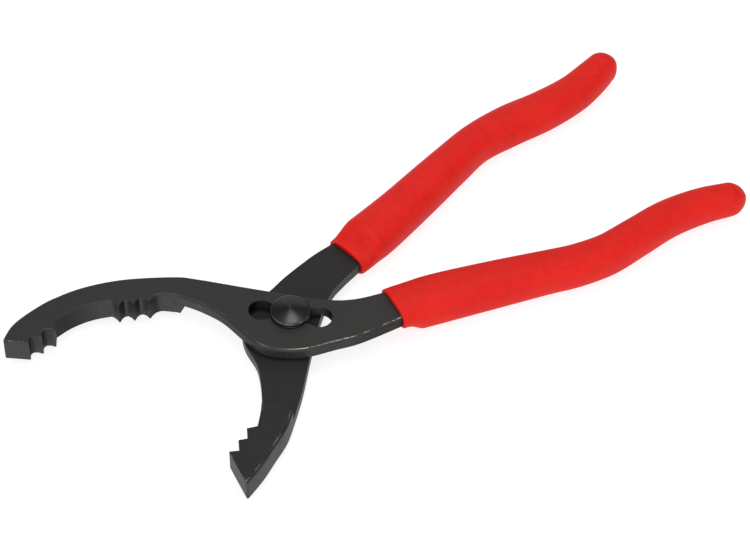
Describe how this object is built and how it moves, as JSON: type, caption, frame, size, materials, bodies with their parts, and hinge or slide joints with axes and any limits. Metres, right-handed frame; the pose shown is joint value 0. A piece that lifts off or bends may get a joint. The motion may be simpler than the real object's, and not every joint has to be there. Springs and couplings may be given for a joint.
{
  "type": "oil filter wrench",
  "caption": "Slip joint pliers with a long hooked jaw and a short toothed jaw for gripping canister oil filters, with sleeved handles.",
  "frame": {"origin": "on the pivot bolt's axis with the bolt in the middle seat, at the lower end face of the bolt, which is level with the undersides of the nut and of the grips", "axes": "+X along the slot in the hook jaw lever, away from the hook jaw; +Z along the bolt, from its nut to its head; +Y completes the right-handed frame, on the side of the short jaw lever's handle"},
  "size_m": [0.2851, 0.2576, 0.0174],
  "materials": {
    "black_steel": "matt black oxide on a forging, worn bright on edges",
    "turned_steel": "dark turned steel with fine rings",
    "red_vinyl": "satin moulded vinyl"
  },
  "bodies": {
    "hook_lever": {"hook_jaw_lever": "black_steel", "hook_lever_grip": "red_vinyl"},
    "slip_washer": {"head_washer": "turned_steel"},
    "short_lever": {"short_jaw_lever": "black_steel", "short_lever_grip": "red_vinyl", "pivot_bolt": "turned_steel", "pivot_nut": "turned_steel", "lock_washer": "turned_steel"}
  },
  "joints": [
    {"name": "slip", "type": "slide", "parent": "hook_lever", "child": "slip_washer", "axis": [1, 0, 0], "range_m": [-0.0118, 0.0118]},
    {"name": "jaw_pivot", "type": "hinge", "parent": "slip_washer", "child": "short_lever", "pos_m": [0, 0, 0], "axis": [0, 0, 1], "range_deg": [-14, 68]}
  ]
}
